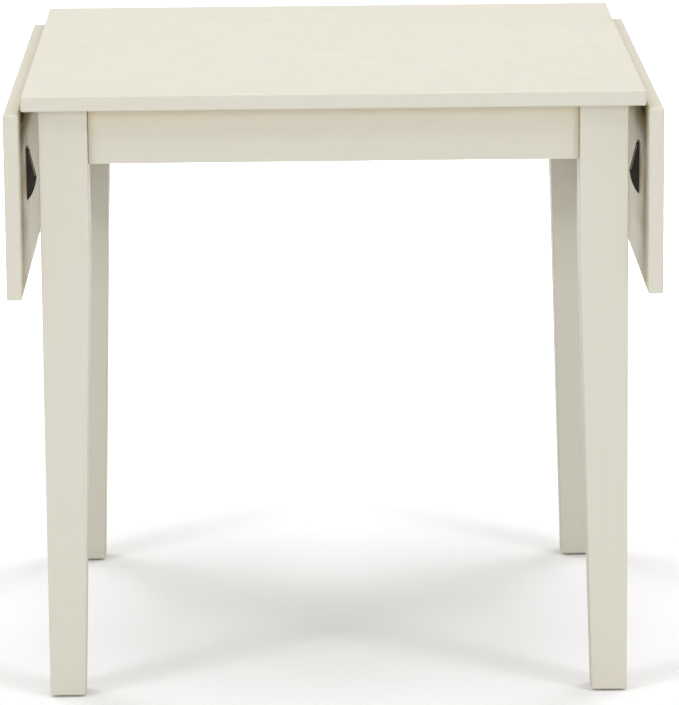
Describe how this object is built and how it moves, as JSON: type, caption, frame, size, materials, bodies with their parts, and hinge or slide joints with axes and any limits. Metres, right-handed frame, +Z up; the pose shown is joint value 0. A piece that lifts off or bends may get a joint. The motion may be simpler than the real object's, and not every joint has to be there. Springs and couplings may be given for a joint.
{
  "type": "drop leaf table",
  "caption": "Square wooden dining table on four tapered legs, with a hinged drop leaf on each side that steel swing arms hold level.",
  "frame": {"origin": "on the floor, under the centre of the fixed top", "axes": "+Z up, X across the table from leaf to leaf with +X to the right leaf, Y from the front (-) to the back (+)"},
  "size_m": [0.806, 0.762, 0.765],
  "materials": {
    "painted_wood": "satin cream paint",
    "bare_wood": "planed, unpainted",
    "black_steel": "black, baked on",
    "hinge_steel": "dark bronze, satin",
    "zinc_steel": "zinc plated",
    "glide_plastic": "moulded"
  },
  "bodies": {
    "frame": {"tabletop": "painted_wood", "apron_front": "painted_wood", "apron_rear": "painted_wood", "apron_left": "painted_wood", "apron_right": "painted_wood", "leg_front_left": "painted_wood", "foot_glide_front_left": "glide_plastic", "corner_block_front_left": "bare_wood", "leg_bolt_front_left": "zinc_steel", "leg_rear_left": "painted_wood", "foot_glide_rear_left": "glide_plastic", "corner_block_rear_left": "bare_wood", "leg_bolt_rear_left": "zinc_steel", "leg_front_right": "painted_wood", "foot_glide_front_right": "glide_plastic", "corner_block_front_right": "bare_wood", "leg_bolt_front_right": "zinc_steel", "leg_rear_right": "painted_wood", "foot_glide_rear_right": "glide_plastic", "corner_block_rear_right": "bare_wood", "leg_bolt_rear_right": "zinc_steel", "hinge_top_flap_left_front": "hinge_steel", "hinge_pin_left_front": "hinge_steel", "hinge_top_flap_left_middle": "hinge_steel", "hinge_pin_left_middle": "hinge_steel", "hinge_top_flap_left_rear": "hinge_steel", "hinge_pin_left_rear": "hinge_steel", "arm_bracket_left_front": "black_steel", "arm_pivot_left_front": "zinc_steel", "arm_bracket_left_rear": "black_steel", "arm_pivot_left_rear": "zinc_steel", "hinge_top_flap_right_front": "hinge_steel", "hinge_pin_right_front": "hinge_steel", "hinge_top_flap_right_middle": "hinge_steel", "hinge_pin_right_middle": "hinge_steel", "hinge_top_flap_right_rear": "hinge_steel", "hinge_pin_right_rear": "hinge_steel", "arm_bracket_right_front": "black_steel", "arm_pivot_right_front": "zinc_steel", "arm_bracket_right_rear": "black_steel", "arm_pivot_right_rear": "zinc_steel"},
    "left_leaf": {"leaf_left": "painted_wood", "hinge_leaf_flap_left_front": "hinge_steel", "hinge_leaf_flap_left_middle": "hinge_steel", "hinge_leaf_flap_left_rear": "hinge_steel", "leaf_catch_left_front": "black_steel", "leaf_catch_left_rear": "black_steel"},
    "right_leaf": {"leaf_right": "painted_wood", "hinge_leaf_flap_right_front": "hinge_steel", "hinge_leaf_flap_right_middle": "hinge_steel", "hinge_leaf_flap_right_rear": "hinge_steel", "leaf_catch_right_front": "black_steel", "leaf_catch_right_rear": "black_steel"},
    "left_front_arm": {"support_arm_left_front": "black_steel"},
    "left_rear_arm": {"support_arm_left_rear": "black_steel"},
    "right_front_arm": {"support_arm_right_front": "black_steel"},
    "right_rear_arm": {"support_arm_right_rear": "black_steel"}
  },
  "joints": [
    {"name": "left_leaf_hinge", "type": "hinge", "parent": "frame", "child": "left_leaf", "pos_m": [-0.3815, 0, 0.7435], "axis": [0, 1, 0], "range_deg": [0, 90]},
    {"name": "right_leaf_hinge", "type": "hinge", "parent": "frame", "child": "right_leaf", "pos_m": [0.3815, 0, 0.7435], "axis": [0, -1, 0], "range_deg": [0, 90]},
    {"name": "left_front_arm_swing", "type": "hinge", "parent": "frame", "child": "left_front_arm", "pos_m": [-0.3605, -0.221, 0.6885], "axis": [0, 1, 0], "range_deg": [0, 114.97]},
    {"name": "left_rear_arm_swing", "type": "hinge", "parent": "frame", "child": "left_rear_arm", "pos_m": [-0.3605, 0.221, 0.6885], "axis": [0, 1, 0], "range_deg": [0, 114.97]},
    {"name": "right_front_arm_swing", "type": "hinge", "parent": "frame", "child": "right_front_arm", "pos_m": [0.3605, -0.221, 0.6885], "axis": [0, -1, 0], "range_deg": [0, 114.97]},
    {"name": "right_rear_arm_swing", "type": "hinge", "parent": "frame", "child": "right_rear_arm", "pos_m": [0.3605, 0.221, 0.6885], "axis": [0, -1, 0], "range_deg": [0, 114.97]}
  ],
  "couplings": [
    {"joint": "left_front_arm_swing", "follows": "left_leaf_hinge", "ratio": 1.2773},
    {"joint": "left_rear_arm_swing", "follows": "left_leaf_hinge", "ratio": 1.2773},
    {"joint": "right_front_arm_swing", "follows": "right_leaf_hinge", "ratio": 1.2773},
    {"joint": "right_rear_arm_swing", "follows": "right_leaf_hinge", "ratio": 1.2773}
  ]
}
